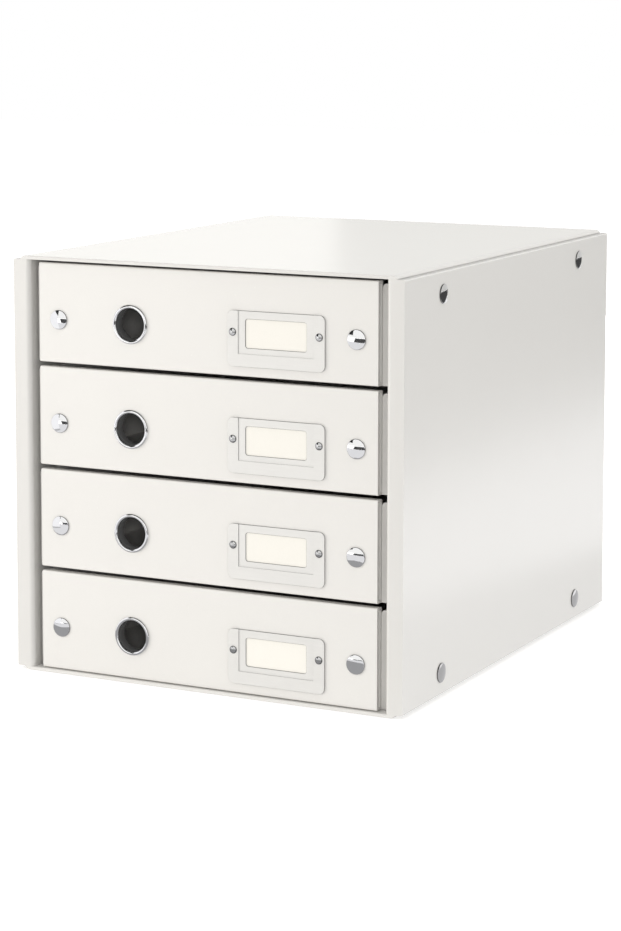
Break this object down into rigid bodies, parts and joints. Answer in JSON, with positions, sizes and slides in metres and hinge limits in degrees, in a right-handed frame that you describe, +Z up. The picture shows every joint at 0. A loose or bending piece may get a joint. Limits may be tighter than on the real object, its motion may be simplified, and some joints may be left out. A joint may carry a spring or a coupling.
{
  "type": "drawer cabinet",
  "caption": "Free-standing desktop drawer cabinet of white laminated board joined with press studs, with sliding trays, metal finger rings and label holders for flat papers.",
  "frame": {"origin": "on the floor plane under the middle of the case, centred in width and depth", "axes": "+X to the right seen from the front, +Y to the back, +Z up; the drawers slide out along -Y"},
  "size_m": [0.29, 0.358, 0.282],
  "materials": {
    "case_board": "white satin film",
    "drawer_board": "white satin film",
    "stud_chrome": "polished",
    "ring_chrome": "polished",
    "stud_steel": "plain zinc",
    "label_metal": "satin",
    "label_card": "matt"
  },
  "bodies": {
    "cabinet": {"case_wrap": "case_board", "left_side_panel": "case_board", "right_side_panel": "case_board", "lower_shelf": "case_board", "middle_shelf": "case_board", "upper_shelf": "case_board", "left_side_stud_caps": "stud_chrome", "right_side_stud_caps": "stud_chrome", "left_side_stud_sockets": "stud_steel", "right_side_stud_sockets": "stud_steel"},
    "bottom_drawer": {"bottom_drawer_tray": "drawer_board", "bottom_drawer_front": "drawer_board", "bottom_drawer_finger_ring": "ring_chrome", "bottom_drawer_ring_washer": "stud_steel", "bottom_drawer_label_frame": "label_metal", "bottom_drawer_label_card": "label_card", "bottom_drawer_label_rivets": "stud_chrome", "bottom_drawer_stud_caps": "stud_chrome", "bottom_drawer_stud_sockets": "stud_steel"},
    "lower_drawer": {"lower_drawer_tray": "drawer_board", "lower_drawer_front": "drawer_board", "lower_drawer_finger_ring": "ring_chrome", "lower_drawer_ring_washer": "stud_steel", "lower_drawer_label_frame": "label_metal", "lower_drawer_label_card": "label_card", "lower_drawer_label_rivets": "stud_chrome", "lower_drawer_stud_caps": "stud_chrome", "lower_drawer_stud_sockets": "stud_steel"},
    "upper_drawer": {"upper_drawer_tray": "drawer_board", "upper_drawer_front": "drawer_board", "upper_drawer_finger_ring": "ring_chrome", "upper_drawer_ring_washer": "stud_steel", "upper_drawer_label_frame": "label_metal", "upper_drawer_label_card": "label_card", "upper_drawer_label_rivets": "stud_chrome", "upper_drawer_stud_caps": "stud_chrome", "upper_drawer_stud_sockets": "stud_steel"},
    "top_drawer": {"top_drawer_tray": "drawer_board", "top_drawer_front": "drawer_board", "top_drawer_finger_ring": "ring_chrome", "top_drawer_ring_washer": "stud_steel", "top_drawer_label_frame": "label_metal", "top_drawer_label_card": "label_card", "top_drawer_label_rivets": "stud_chrome", "top_drawer_stud_caps": "stud_chrome", "top_drawer_stud_sockets": "stud_steel"}
  },
  "joints": [
    {"name": "bottom_drawer_slide", "type": "slide", "parent": "cabinet", "child": "bottom_drawer", "axis": [0, -1, 0], "range_m": [0, 0.3]},
    {"name": "lower_drawer_slide", "type": "slide", "parent": "cabinet", "child": "lower_drawer", "axis": [0, -1, 0], "range_m": [0, 0.3]},
    {"name": "upper_drawer_slide", "type": "slide", "parent": "cabinet", "child": "upper_drawer", "axis": [0, -1, 0], "range_m": [0, 0.3]},
    {"name": "top_drawer_slide", "type": "slide", "parent": "cabinet", "child": "top_drawer", "axis": [0, -1, 0], "range_m": [0, 0.3]}
  ]
}
